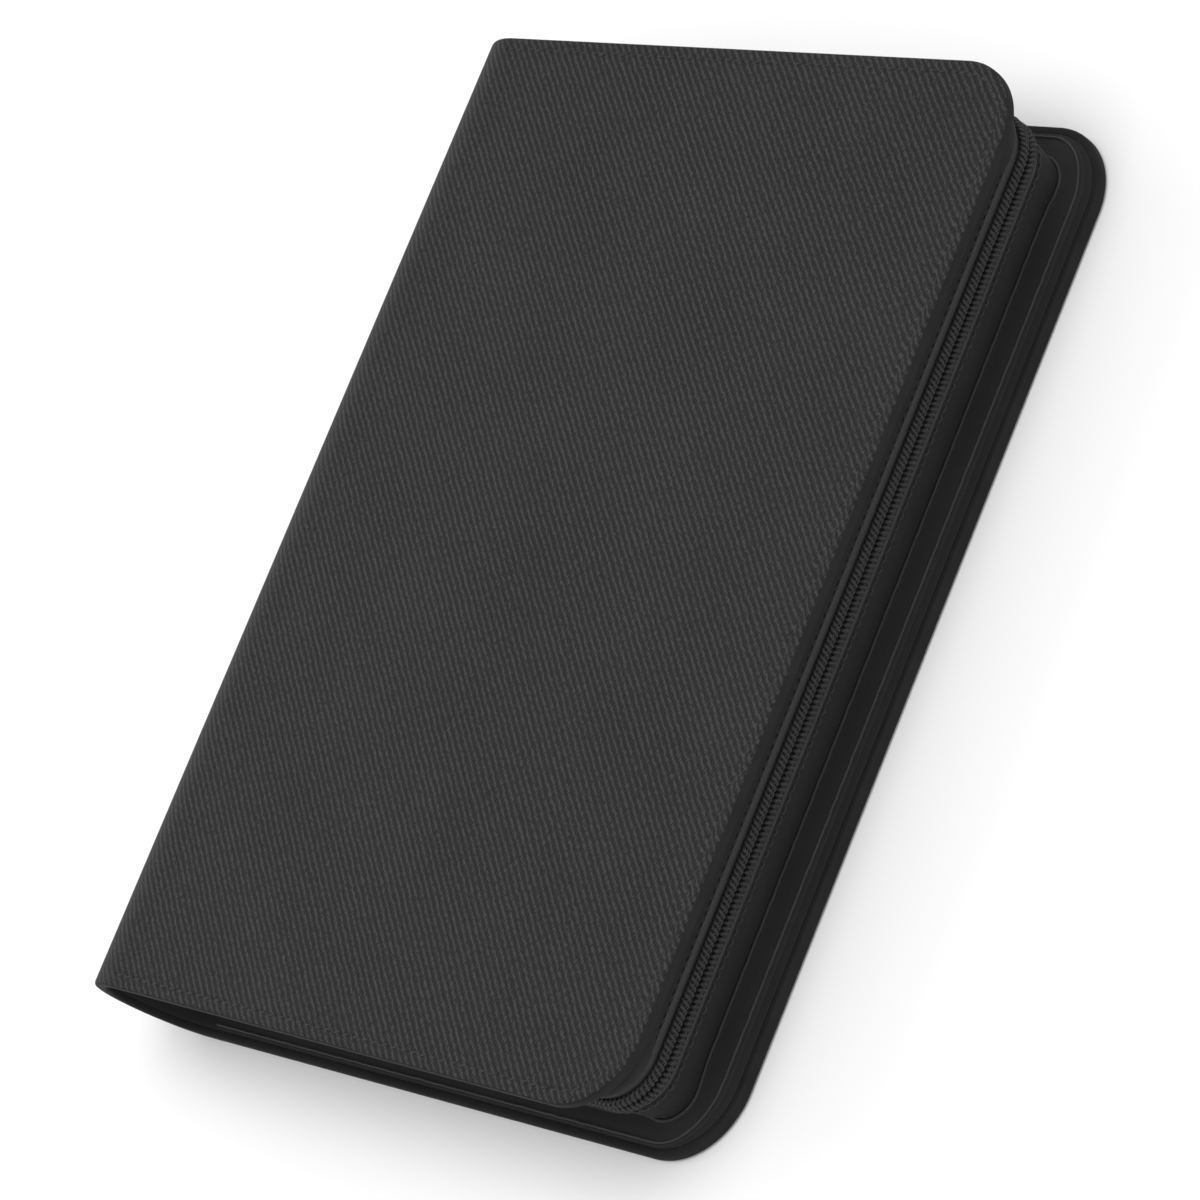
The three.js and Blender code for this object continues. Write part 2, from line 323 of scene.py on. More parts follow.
def leatherette_edge():
    """The same leatherette stretched over an edge: the ribs are pulled flat and the grain is left."""
    n = Nodes("leatherette_edge", Specular_IOR_Level=0.08)
    at = n.uv()
    grain = n.noise(at, 1.6, 4, 0.6)
    worn = n.noise(at, 0.12, 3)
    colour = n.colours(worn, (0.3, grey(0.0145)), (0.7, grey(0.0185)))
    return n.finish(colour, n.between(grain, 0.3, 0.7, 0.62, 0.74), grain, 0.03)


def woven(name, dark, light, pitch, rough, depth):
    """A plain weave of that thread pitch, in millimetres, with slubs and slow shade changes."""
    n = Nodes(name, Specular_IOR_Level=0.1, Sheen_Weight=0.03, Sheen_Roughness=0.6)
    at = n.uv()
    wobble = n.math("MULTIPLY", n.noise(at, 0.8, 2), 0.5)
    warp = n.wave(n.math("ADD", n.math("MULTIPLY", n.dot(at, (1, 0, 0)), 1 / pitch), wobble))
    weft = n.wave(n.math("ADD", n.math("MULTIPLY", n.dot(at, (0, 1, 0)), 1 / pitch), wobble))
    over = n.math("ABSOLUTE", n.math("SUBTRACT", warp, weft))
    slub = n.noise(at, 1.7, 4, 0.65)
    shade = n.noise(at, 0.06, 3)
    height = n.math("MULTIPLY_ADD", over, 0.6, n.math("MULTIPLY", slub, 0.5))
    tone = n.math("MULTIPLY_ADD", height, 0.6, n.math("MULTIPLY", shade, 0.6))
    colour = n.colours(tone, (0.3, grey(dark, 0.04)), (0.85, grey(light, 0.03)))
    return n.finish(colour, n.between(slub, 0.3, 0.7, rough - 0.06, rough + 0.06), height, depth)


TAPE_RIB, TAPE_THREAD = 0.62, 0.45  # millimetres between the tape's ribs, and between its threads


def tape_cloth():
    """Zipper tape: herringbone ribs that run along the tape."""
    n = Nodes("zip_tape", Specular_IOR_Level=0.2, Sheen_Weight=0.1, Sheen_Roughness=0.5)
    at = n.uv()
    across = n.dot(at, (0, 1, 0))
    rib = n.wave(n.math("MULTIPLY", across, 1 / TAPE_RIB))
    zig = n.math("PINGPONG", across, TAPE_RIB)
    slant = n.math("ADD", n.dot(at, (1, 0, 0)), zig)
    thread = n.wave(n.math("MULTIPLY", slant, 1 / TAPE_THREAD))
    fuzz = n.noise(at, 3.0, 4, 0.7)
    weave = n.math("MULTIPLY_ADD", thread, 0.3, n.math("MULTIPLY", fuzz, 0.3))
    height = n.math("MULTIPLY_ADD", rib, 0.5, weave)
    colour = n.colours(height, (0.2, grey(0.034)), (0.8, grey(0.05, 0.03)))
    return n.finish(colour, n.between(fuzz, 0.3, 0.7, 0.66, 0.78), height, 0.1)


def nylon():
    n = Nodes("zip_coil", Specular_IOR_Level=0.25)
    at = n.place()
    mottle = n.noise(at, 0.5, 3)
    scuff = n.noise(at, 6.0, 3, 0.7)
    colour = n.colours(mottle, (0.3, grey(0.036)), (0.7, grey(0.046, 0.03)))
    return n.finish(colour, n.between(scuff, 0.3, 0.7, 0.45, 0.6), scuff, 0.01)


def thread_yarn(name, dark, light):
    """Polyester sewing thread: two plies whose twist shows as slanting bands."""
    n = Nodes(name, Specular_IOR_Level=0.3, Sheen_Weight=0.15, Sheen_Roughness=0.4)
    at = n.uv()
    twist = n.wave(n.dot(at, (2.2, 1.1, 0)))
    fibre = n.noise(at, 4.0, 3, 0.6)
    height = n.math("MULTIPLY_ADD", twist, 0.7, n.math("MULTIPLY", fibre, 0.3))
    colour = n.colours(height, (0.2, grey(dark)), (0.8, grey(light)))
    return n.finish(colour, n.between(fibre, 0.3, 0.7, 0.5, 0.65), height, 0.06)


def enamel():
    """Black enamel on die-cast metal, rubbed at its high spots."""
    n = Nodes("zip_metal", Specular_IOR_Level=0.5, Coat_Weight=0.3, Coat_Roughness=0.2)
    at = n.place()
    cast = n.noise(at, 1.4, 4, 0.6)
    rub = n.noise(at, 0.35, 5, 0.7)
    colour = n.colours(rub, (0.55, grey(0.014)), (0.72, grey(0.05, 0.02)))
    n.link(n.between(rub, 0.6, 0.75, 0.1, 0.8), n.shader.inputs["Metallic"])
    return n.finish(colour, n.between(cast, 0.3, 0.7, 0.26, 0.42), cast, 0.02)


def fibre_board():
    n = Nodes("board", Roughness=0.9)
    at = n.place()
    pulp = n.noise(n.scaled(at, (1, 0.3, 1)), 0.9, 5, 0.7)
    fleck = n.noise(at, 3.5, 2)
    colour = n.colours(pulp, (0.35, (0.16, 0.15, 0.13)), (0.65, (0.24, 0.225, 0.2)))
    return n.finish(colour, n.between(fleck, 0.3, 0.7, 0.82, 0.95), pulp, 0.05)


def page_film(name, dark, light, rough, depth):
    """Polypropylene with a fine matt emboss and slow waves from the welding."""
    n = Nodes(name, Specular_IOR_Level=0.4)
    at = n.place()
    emboss = n.noise(at, 2.2, 3, 0.5)
    flow = n.noise(at, 0.05, 3)
    colour = n.colours(flow, (0.3, grey(dark, 0.05)), (0.7, grey(light, 0.06)))
    height = n.math("MULTIPLY_ADD", flow, 2.5, n.math("MULTIPLY", emboss, 0.1))
    return n.finish(colour, n.between(emboss, 0.3, 0.7, rough - 0.05, rough + 0.07), height, depth)


SKIN = leatherette()
SKIN_EDGE = leatherette_edge()
LINING = woven("lining", 0.018, 0.024, 0.55, 0.76, 0.04)
GUSSET = woven("gusset", 0.016, 0.023, 0.42, 0.8, 0.04)
# The flange is the gusset's own cloth in a lighter tone than the wall: painted light on the flange, and
# painted shade on the wall down in the recess.
FLANGE_PAINTED_LIGHT = woven("flange", 0.021, 0.030, 0.42, 0.8, 0.04)
TAPE = tape_cloth()
NYLON = nylon()
SKIN_THREAD = thread_yarn("cover_thread", 0.014, 0.028)
LINING_THREAD = thread_yarn("lining_thread", 0.026, 0.05)
METAL = enamel()
BOARD = fibre_board()
BACKING = page_film("page_backing", 0.010, 0.014, 0.5, 0.04)
FILM = page_film("pocket_film", 0.014, 0.019, 0.27, 0.05)


# ---------------------------------------------------------------- mesh helpers

class Shape:
    """Points in millimetres, faces, a flat pattern and a material number for each face."""

    def __init__(self):
        self.points, self.faces, self.pattern, self.slots = [], [], [], []

    def add(self, points, pattern=None):
        first = len(self.points)
        self.points += [tuple(p) for p in points]
        self.pattern += list(pattern) if pattern else [(p[0], p[1]) for p in points]
        return list(range(first, len(self.points)))

    def face(self, corners, slot=0):
        self.faces.append(tuple(corners))
        self.slots.append(slot)

    def strip(self, one, other, slot=0, closed=False):
        """Quads between two rows of the same length."""
        steps = len(one) if closed else len(one) - 1
        for i in range(steps):
            j = (i + 1) % len(one)
            self.face((one[i], one[j], other[j], other[i]), slot)

    def tube(self, line, radius, sides=6, slot=0):
        """A round wire along a line of points, with rounded ends. Its pattern runs along and around it."""
        line = [Vector(p) for p in line]
        last = len(line) - 1
        ways = [(line[min(i + 1, last)] - line[max(i - 1, 0)]).normalized() for i in range(last + 1)]
        lift = Vector((0, 0, 1)) if abs(ways[0].z) < 0.9 else Vector((1, 0, 0))
        rings, run, before = [], 0.0, line[0]
        cap, narrow = radius * 0.7, 0.55  # how far an end's last ring stands off, and its share of the radius
        stations = [(line[0] - ways[0] * cap, narrow, ways[0])]
        stations += [(p, 1.0, w) for p, w in zip(line, ways)]
        stations.append((line[-1] + ways[-1] * cap, narrow, ways[-1]))
        for centre, share, way in stations:
            side = way.cross(lift).normalized()
            lift = side.cross(way).normalized()
            run += (centre - before).length
            before = centre
            ring = []
            for k in range(sides):
                angle = math.tau * k / sides
                ring.append(centre + (side * math.cos(angle) + lift * math.sin(angle)) * radius * share)
            rings.append(self.add(ring, [(run, radius * math.tau * k / sides) for k in range(sides)]))
        for one, other in zip(rings, rings[1:]):
            self.strip(one, other, slot, closed=True)
        self.face(reversed(rings[0]), slot)
        self.face(rings[-1], slot)


def piece(name, shape, materials, body=None, replaces=(), crisp=40):
    """A mesh object from a shape, riding on a body if one is given."""
    mesh = bpy.data.meshes.new(name)
    low = Vector((FOLD_X, cad_low.y, cad_low.z))
    mesh.from_pydata([low + Vector(p) * MM for p in shape.points], [], shape.faces)
    layer = mesh.uv_layers.new(name="pattern")
    for loop in mesh.loops:
        u, v = shape.pattern[loop.vertex_index]
        layer.data[loop.index].uv = (u * MM, v * MM)
    for material in materials if isinstance(materials, (list, tuple)) else [materials]:
        mesh.materials.append(material)
    for polygon, number in zip(mesh.polygons, shape.slots):
        polygon.material_index = number
    work = bmesh.new()
    work.from_mesh(mesh)
    bmesh.ops.recalc_face_normals(work, faces=work.faces)
    work.to_mesh(mesh)
    work.free()
    mesh.shade_smooth()
    mesh.set_sharp_from_angle(angle=math.radians(crisp))
    made = bpy.data.objects.new(name, mesh)
    bpy.context.scene.collection.objects.link(made)
    if body:
        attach(made, body)
    if replaces:
        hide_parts(*replaces)
    return made


RIM_STRAIGHT, RIM_ARC = 40, 20  # stations on a straight side and on a corner
SEWN_STRAIGHT, SEWN_ARC = 280, 48  # the same, close enough together for needle holes


def rim(right, low, rx, ry, x0, straight=RIM_STRAIGHT, arc=RIM_ARC):
    """A line from x0 along the bottom, up the fore-edge and back along the top, with round corners."""
    top = HEIGHT - low
    line = [(x0 + (right - rx - x0) * i / straight, low) for i in range(straight)]
    for i in range(arc + 1):
        a = math.pi / 2 * i / arc
        line.append((right - rx + rx * math.sin(a), low + ry - ry * math.cos(a)))
    line += [(right, low + ry + (top - low - 2 * ry) * i / straight) for i in range(1, straight)]
    for i in range(arc + 1):
        a = math.pi / 2 * i / arc
        line.append((right - rx + rx * math.cos(a), top - ry + ry * math.sin(a)))
    line += [(right - rx + (x0 - right + rx) * i / straight, top) for i in range(1, straight + 1)]
    return line


def cover_rim(reach, fore, ends, x0, straight=RIM_STRAIGHT, arc=RIM_ARC):
    return rim(reach - fore, ends, CORNER - fore, CORNER - ends, x0, straight, arc)


def zip_rim(inward, x0=ZIP_START, straight=RIM_STRAIGHT, arc=RIM_ARC):
    corner = ZIP_CORNER - inward
    return rim(ZIP_X - inward, ZIP_Y + inward, corner, corner, x0, straight, arc)


def lengths(line):
    total = [0.0]
    for a, b in zip(line, line[1:]):
        total.append(total[-1] + (Vector(b) - Vector(a)).length)
    return total


def walk(line, step, first=0.0):
    """Evenly spaced places along a line: (distance, point, direction)."""
    total, places, at, i = lengths(line), [], first, 0
    while at <= total[-1]:
        while i < len(line) - 2 and total[i + 1] < at:
            i += 1
        a, b = Vector(line[i]), Vector(line[i + 1])
        places.append((at, a + (b - a) * ((at - total[i]) / (total[i + 1] - total[i])), (b - a).normalized()))
        at += step
    return places


def smooth(value, low, high):
    t = min(1.0, max(0.0, (value - low) / (high - low)))
    return t * t * (3 - 2 * t)


def up(side, z):
    """A height above the back cover's outside, or the same depth below the front cover's."""
    return z if side > 0 else THICKNESS - z


# ---------------------------------------------------------------- covers and spine

# The leatherette's section at an edge: (inset from the edge, depth below the outer face)
FACE_EDGE = (
    (8.0, 0.0), (4.1, 0.0), (3.65, 0.04), (3.4, 0.2), (3.1, GROOVE_DEPTH), (2.8, 0.2), (2.55, 0.04),
    (2.0, 0.0), (0.95, 0.0), (0.7, 0.02), (0.45, 0.09), (0.25, 0.22), (0.1, 0.42), (0.02, 0.68), (0.0, 0.95),
    (0.0, 2.0), (0.04, 2.3), (0.15, 2.57), (0.34, 2.8), (0.6, 2.93), (0.9, 2.98), (1.4, 2.98), (1.72, 2.97),
    (1.84, 2.92),
)
GROOVE_POINTS = range(2, 7)
EDGE_FROM = 11  # the section's first point on the smooth edge
FACE_INSET = 1.2  # from the edge to where the outer face is flat
SKIN_BACK = ((1.87, 2.35), (SKIN_WALL, 2.3), (SKIN_WALL, SKIN_WALL), (8.0, SKIN_WALL))
LINING_LIP = ((1.92, 2.92), (2.02, 2.97), (2.4, 3.0), (2.9, 3.0))


def unrolled(section):
    """Each point's inset on the flat pattern, which runs on over the edge."""
    insets = [section[0][0]]
    for (d0, t0), (d1, t1) in zip(section, section[1:]):
        insets.append(insets[-1] - math.hypot(d1 - d0, t1 - t0))
    return insets


PULL_BETWEEN = 0.35  # the groove's share of its depth between two needle holes
PULL_REACH = 0.55  # how far the dip at a hole spreads


def pulled(along):
    """How far the thread pulls the leatherette in, at that distance along the seam: most at the holes."""
    off = (along / STITCH_PITCH + 0.5) % 1 - 0.5
    return PULL_BETWEEN + (1 - PULL_BETWEEN) * math.exp(-((off * STITCH_PITCH / PULL_REACH) ** 2))


def groove_share():
    """How deep the sewing pulls at each station of a rim: fully along the ends, least at the fore-edge."""
    corner = [1 - 0.8 * smooth(i, 0, SEWN_ARC * 0.7) for i in range(SEWN_ARC + 1)]
    fore = [corner[-1]] * (SEWN_STRAIGHT - 1)
    return [1] * SEWN_STRAIGHT + corner + fore + corner[::-1] + [1] * SEWN_STRAIGHT


def cover_skin(name, reach, side):
    shape = Shape()
    section = FACE_EDGE + SKIN_BACK
    flat = unrolled(section)
    rows = []
    run = lengths(cover_rim(reach, GROOVE_FORE, GROOVE_ENDS, WRAP_END, SEWN_STRAIGHT, SEWN_ARC))
    sewn = [share * pulled(s) for share, s in zip(groove_share(), run)]
    for i, ((d, t), inset) in enumerate(zip(section, flat)):
        in_groove = i in GROOVE_POINTS
        fore = d + (GROOVE_FORE - GROOVE_ENDS if in_groove else 0)
        line = cover_rim(reach, fore, d, WRAP_END, SEWN_STRAIGHT, SEWN_ARC)
        pattern = cover_rim(reach, inset, inset, WRAP_END, SEWN_STRAIGHT, SEWN_ARC)
        if side > 0:
            pattern = [(-math.pi * RADIUS - x, y) for x, y in pattern]
        depths = [t * share if in_groove else t for share in sewn]
        rows.append(shape.add([(x, y, up(side, deep)) for (x, y), deep in zip(line, depths)], pattern))
    for i, (one, other) in enumerate(zip(rows, rows[1:])):
        shape.strip(one, other, 1 if i >= EDGE_FROM else 0)
    shape.face(rows[0])
    shape.face(rows[-1], 1)
    shape.face([r[0] for r in rows] + [r[-1] for r in reversed(rows)], 1)
    return piece(f"{name}_cover_leatherette", shape, [SKIN, SKIN_EDGE], f"{name}_cover",
                 [f"{name}_cover_skin"])


def cover_lining(name, reach, side):
    shape = Shape()
    section = ((LINING_INSET, LINING_DEPTH), *LINING_LIP)
    rows = []
    for d, t in section:
        line = cover_rim(reach, d, d, WRAP_END)
        rows.append(shape.add([(x, y, up(side, t)) for x, y in line]))
    for one, other in zip(rows, rows[1:]):
        shape.strip(one, other)
    shape.face(rows[0])
    shape.face(rows[-1])
    shape.face([r[0] for r in rows] + [r[-1] for r in reversed(rows)])
    made = piece(f"{name}_cover_lining_cloth", shape, LINING, f"{name}_cover",
                 [f"{name}_cover_lining"])
    return made


def around_spine(u, depth):
    """(x, z) at u along the outside, from the front cover over the spine to the back cover, and that deep."""
    if u >= 0:
        return u, THICKNESS - depth
    if u <= -math.pi * RADIUS:
        return -u - math.pi * RADIUS, depth
    angle = -u / RADIUS
    return -(RADIUS - depth) * math.sin(angle), MIDDLE + (RADIUS - depth) * math.cos(angle)


def on_cover(u):
    """How far u is past the spine fold, on either cover."""
    return max(u, -u - math.pi * RADIUS)


def wrap_stations(start, end):
    """Places along the outside from start down to end, close together round the crease."""
    fine, coarse, near = 0.2, 0.45, 1.3
    places, u = [start], start
    while u > end:
        u -= fine if abs(on_cover(u) - CREASE_X) < near else coarse
        places.append(max(u, end))
    return places


def add_stitch(shape, start, end, out, slot):
    """One arched stitch from start to end, standing up along out, whose ends sink into the cloth."""
    start, end, out = Vector(start), Vector(end), Vector(out)
    steps = 5
    line = []
    for i in range(steps + 1):
        s = i / steps
        line.append(start + (end - start) * s + out * (STITCH_ARCH * math.sin(math.pi * s) - STITCH_SINK))
    shape.tube(line, THREAD, slot=slot)


def spine_wrap(number):
    """The leatherette and its lining over one fold of the spine, from mid-strip to mid-strip."""
    fold = -(STRIPS + 1 - number) * STRIP
    start = WRAP_END if number == STRIPS + 1 else fold + STRIP / 2
    end = -math.pi * RADIUS - WRAP_END if number == 1 else fold - STRIP / 2
    shape = Shape()
    half = FACE_EDGE + LINING_LIP
    flat = unrolled(half)
    rings = []
    for u in wrap_stations(start, end):
        sewn = smooth(on_cover(u), -0.3, 0.5) * pulled(on_cover(u) - WRAP_END)
        sunk = CREASE_DEPTH * math.exp(-((on_cover(u) - CREASE_X) / 0.45) ** 2)
        ring, pattern = [], []
        for i, ((d, t), inset) in enumerate(zip(half, flat)):
            deep = t * sewn if i in GROOVE_POINTS else t
            if d > FACE_INSET and t < 1:
                deep += sunk
            x, z = around_spine(u, deep)
            ring.append((x, d, z))
            pattern.append((u, inset))
        ring += [(x, HEIGHT - y, z) for x, y, z in reversed(ring)]
        pattern += [(a, HEIGHT - b) for a, b in reversed(pattern)]
        rings.append(shape.add(ring, pattern))
    skin, lining, thread, edge = range(4)
    count, lining_from = len(rings[0]), len(FACE_EDGE) - 1
    for one, other in zip(rings, rings[1:]):
        for i in range(count):
            j = (i + 1) % count
            k = min(i, count - 2 - i) if i < count - 1 else 0
            kind = lining if k >= lining_from else edge if k >= EDGE_FROM else skin
            shape.face((one[i], one[j], other[j], other[i]), kind)
    shape.face(reversed(rings[0]), lining)
    shape.face(rings[-1], lining)
    if number in (1, STRIPS + 1):
        wrap_stitches(shape, number > 1, thread)
    made = piece(f"spine_wrap_{number}", shape, [SKIN, LINING, SKIN_THREAD, SKIN_EDGE])
    if number <= STRIPS:
        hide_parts(f"spine_skin_{number}", f"spine_padding_{number}")
    for u in (fold + BLEND_HALF, fold - BLEND_HALF):
        x, z = around_spine(u, 0)
    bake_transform(made)
    return made


def wrap_stitches(shape, front, slot):
    """The sewing lines' first three stitches, which lie on the wrap."""
    z, out = (THICKNESS - STITCH_DEPTH, 1) if front else (STITCH_DEPTH, -1)
    for y in (GROOVE_ENDS, HEIGHT - GROOVE_ENDS):
        for i in range(1, 4):
            x = WRAP_END - i * STITCH_PITCH + STITCH_GAP
            start = x, y - STITCH_SLANT, z
            end = x + STITCH_LENGTH, y + STITCH_SLANT, z
            add_stitch(shape, start, end, (0, 0, out), slot)


def cover_stitches(name, reach, side):
    """The row of stitches in the groove round a cover, each one a little askew."""
    shape = Shape()
    skew = random.Random(7 + side)
    out = (0, 0, -side)
    line = cover_rim(reach, GROOVE_FORE, GROOVE_ENDS, WRAP_END)
    z = up(side, STITCH_DEPTH)
    for _, at, way in walk(line, STITCH_PITCH, STITCH_GAP):
        across = Vector((-way.y, way.x)) * (STITCH_SLANT + skew.uniform(-0.06, 0.06))
        a, b = at - across, at + way * STITCH_LENGTH + across
        if way.x < -0.99 and b.x < WRAP_END + 0.3:
            break
        add_stitch(shape, (*a, z), (*b, z), out, 0)
    return piece(f"{name}_cover_stitching", shape, SKIN_THREAD, f"{name}_cover")


# ---------------------------------------------------------------- gusset and zipper

def flange_rim(reach, fore, ends):
    return cover_rim(reach, fore, ends, ZIP_START)


def corner_share():
    """1 in the middle of each corner of the zipper line, falling to 0 just beyond its ends."""
    total = lengths(zip_rim(0))
    spots = [RIM_STRAIGHT + RIM_ARC // 2, 2 * RIM_STRAIGHT + RIM_ARC + RIM_ARC // 2]
    return [max(1 - smooth(abs(s - total[k]), CORNER_CORE, CORNER_SPREAD) for k in spots) for s in total]


def gusset_section():
    """Outer face of the gusset's wall from foot to hem: (inward from the zipper line, height)."""
    steps, foot, top = 12, GUSSET_FOOT_IN - 0.2, TAPE_IN - 0.1
    line = []
    for i in range(steps + 1):
        s = i / steps
        belly = 0.62 * math.sin(math.pi * s)
        hem = 0.22 * smooth(s, 0.86, 0.93)
        line.append((foot + (top - foot) * s - belly - hem, WALL_FOOT_Z + (WALL_HEM_Z - WALL_FOOT_Z) * s))
    return line


def wall_share(z):
    return min(1.0, max(0.0, (z - WALL_FROM) / WALL_HIGH))


def swell(side, z):
    """How far a gusset's wall stands out in its corners: in its middle in front, at its foot at the back."""
    share = wall_share(z)
    if side < 0:
        return CORNER_BULGE * math.sin(math.pi * share ** 1.4)
    return FOOT_SPREAD * (1 - share) ** 1.5


def zip_rim_out(inward, outward):
    """The zipper line, that far inwards and then outwards by its own distance at each station."""
    line, inner = zip_rim(inward), zip_rim(inward + 1)
    return [(a[0] - (b[0] - a[0]) * w, a[1] - (b[1] - a[1]) * w) for a, b, w in zip(line, inner, outward)]


def gusset(name, reach, side):
    """The cloth between a cover and the tape: a flange sewn to the lining, a wall and a folded hem."""
    shape = Shape()
    seed = 11.0 if side > 0 else 47.0
    run = lengths(zip_rim(0))
    wrinkles = [
        0.22 * noise.noise((s / 9, seed, 0)) + 0.12 * noise.noise((s / 3.2, seed, 5)) for s in run
    ]
    corners = corner_share()
    section = gusset_section()
    rows = []

    def row(line, height, along):
        """One line of the cloth; height gives the height at each station."""
        points = [(x, y, up(side, height(i))) for i, (x, y) in enumerate(line)]
        rows.append(shape.add(points, [(s, along) for s in run]))

    def out_at(z):
        return [share * swell(side, z) for share in corners]

    # Flange from its outer edge to the foot, then the wall up to the hem, then back down the inside
    outer = flange_rim(reach, FLANGE_FORE, FLANGE_ENDS)
    foot = zip_rim_out(GUSSET_FOOT_IN, out_at(section[0][1]))
    row(outer, lambda i: COVER + 0.01, 0.0)
    for share, lift in FLANGE_RELIEF:
        line = [(a[0] + (b[0] - a[0]) * share, a[1] + (b[1] - a[1]) * share) for a, b in zip(outer, foot)]
        row(line, lambda i, lift=lift: COVER + lift + 0.05 * wrinkles[i], 8 * share)
    along = 9.0
    for inward, z in section:
        puckers = math.sin(math.pi * wall_share(z))
        outward = [out - w * puckers for out, w in zip(out_at(z), wrinkles)]
        row(zip_rim_out(inward, outward), lambda i, z=z: z, along + z)
    hem, top = section[-1]
    for inward, z in ((hem + 0.3, top + 0.28), (hem + GUSSET_WALL, top + 0.1)):
        row(zip_rim(inward), lambda i, z=z: z, along + z)
    for inward, z in reversed(section[:-1]):
        row(zip_rim_out(inward + GUSSET_WALL, out_at(z)), lambda i, z=z: z, along + 24 - z)
    row(zip_rim_out(GUSSET_FOOT_IN + GUSSET_WALL, out_at(section[0][1])), lambda i: COVER + 0.01, along + 24)
    # The flange's rows take the lighter copy of the gusset cloth, which paints light on them.
    for i, (one, other) in enumerate(zip(rows, rows[1:] + rows[:1])):
        shape.strip(one, other, 1 if i <= len(FLANGE_RELIEF) else 0)
    shape.face([r[0] for r in rows])
    shape.face([r[-1] for r in reversed(rows)])
    made = piece(f"{name}_gusset_cloth", shape, [GUSSET, FLANGE_PAINTED_LIGHT], f"{name}_cover",
                 [f"{name}_gusset"], crisp=60)
    return made


def flange_cords(name, reach, side):
    """The two raised seams of the flange: its outer sewing line, and the one along the gusset's foot."""
    shape = Shape()
    outward = [share * swell(side, COVER) for share in corner_share()]
    for line, radius, seed in ((flange_rim(reach, SEAM_FORE, SEAM_ENDS), SEAM_CORD, 3),
                               (zip_rim_out(GUSSET_FOOT_IN - 0.8, outward), FOOT_CORD, 9)):
        cord = []
        for s, at, way in walk(line, 0.8):
            sway = 0.16 * noise.noise((s / 2.5, seed, side))
            cord.append((at.x - way.y * sway, at.y + way.x * sway, up(side, COVER + 0.34 + radius * 0.4)))
        shape.tube(cord, radius, sides=8)
    return piece(f"{name}_flange_cords", shape, LINING_THREAD, f"{name}_cover")


def hem_stitches(name, side):
    """The seam that holds the tape in the gusset's hem."""
    shape = Shape()
    line = zip_rim(TAPE_IN - 0.38)
    z = up(side, TAPE_FOOT + 0.05)
    for _, at, way in walk(line, HEM_PITCH, 3.0):
        end = at + way * HEM_STITCH
        add_stitch(shape, (*at, z), (*end, z), (way.y, -way.x, 0), 0)
    return piece(f"{name}_hem_stitching", shape, SKIN_THREAD, f"{name}_cover")


def tape(name, side):
    shape = Shape()
    low, high = TAPE_FOOT - 0.6, MIDDLE - HEAD_GAP
    # Outer face with the raised selvedge at the coil, then the inner face
    section = [(TAPE_IN, low), (TAPE_IN, low + 1.5), (TAPE_IN + 0.03, low + 3), (TAPE_IN, high - 0.5),
               (TAPE_IN + 0.08, high - 0.12), (TAPE_IN + TAPE_WALL / 2, high), (TAPE_IN + 0.42, high - 0.12),
               (TAPE_IN + TAPE_WALL, high - 0.5), (TAPE_IN + TAPE_WALL, low)]
    run = lengths(zip_rim(0))
    rows, across = [], 0.0
    for i, (inward, z) in enumerate(section):
        if i:
            across += math.hypot(inward - section[i - 1][0], z - section[i - 1][1])
        line = zip_rim(inward)
        rows.append(shape.add([(x, y, up(side, z)) for x, y in line], [(s, across) for s in run]))
    for one, other in zip(rows, rows[1:] + rows[:1]):
        shape.strip(one, other)
    shape.face([r[0] for r in rows])
    shape.face([r[-1] for r in reversed(rows)])
    return piece(f"{name}_zip_tape_cloth", shape, TAPE, f"{name}_cover",
                 [f"{name}_zip_tape"])


def coil(name, side):
    """One wire wound into flattened turns: a lower leg, a head at the parting and an upper leg.

    A filler cord lies inside the turns, and two sewing threads hold them on the tape.
    """
    shape = Shape()
    base = zip_rim(0, COIL_START, 60, 24)
    # (share of a pitch, distance from the parting, distance out from the tape)
    turn = ((0.0, COIL_BACK_Z, 0.6), (0.0, 1.6, WIRE), (0.0, 0.8, WIRE), (0.0, HEAD_GAP + WIRE, 0.55),
            (0.02, HEAD_GAP + WIRE * 0.8, 0.84), (0.04, HEAD_GAP + WIRE, 1.12), (0.1, 0.8, 1.28),
            (0.3, 1.6, 1.3), (0.5, 2.15, 1.22), (0.62, COIL_BACK_Z, 0.95))
    offset = 0.0 if side > 0 else COIL_PITCH / 2
    line = []
    for _, at, way in walk(base, COIL_PITCH, 0.4 + offset):
        outward = Vector((way.y, -way.x))
        for share, gap, lift in turn:
            spot = at + way * share * COIL_PITCH + outward * (lift - TAPE_IN)
            line.append((*spot, up(side, MIDDLE - gap)))
    shape.tube(line, WIRE, sides=7)
    filler = []
    for _, at, way in walk(base, 1.0, 0.5):
        filler.append((*(at + Vector((way.y, -way.x)) * (0.84 - TAPE_IN)), up(side, MIDDLE - 1.5)))
    shape.tube(filler, FILLER, sides=8, slot=1)
    for gap in (1.25, 1.95):
        wave = []
        for s, at, way in walk(base, COIL_PITCH / 3, 0.8):
            bob = 0.12 * math.cos(math.tau * (s - 0.4 - offset) / COIL_PITCH)
            spot = at + Vector((way.y, -way.x)) * (1.72 + bob - TAPE_IN)
            wave.append((*spot, up(side, MIDDLE - gap)))
        shape.tube(wave, COIL_THREAD, sides=5, slot=1)
    return piece(f"{name}_coil_turns", shape, [NYLON, LINING_THREAD], f"{name}_cover",
                 [f"{name}_zip_coil"])


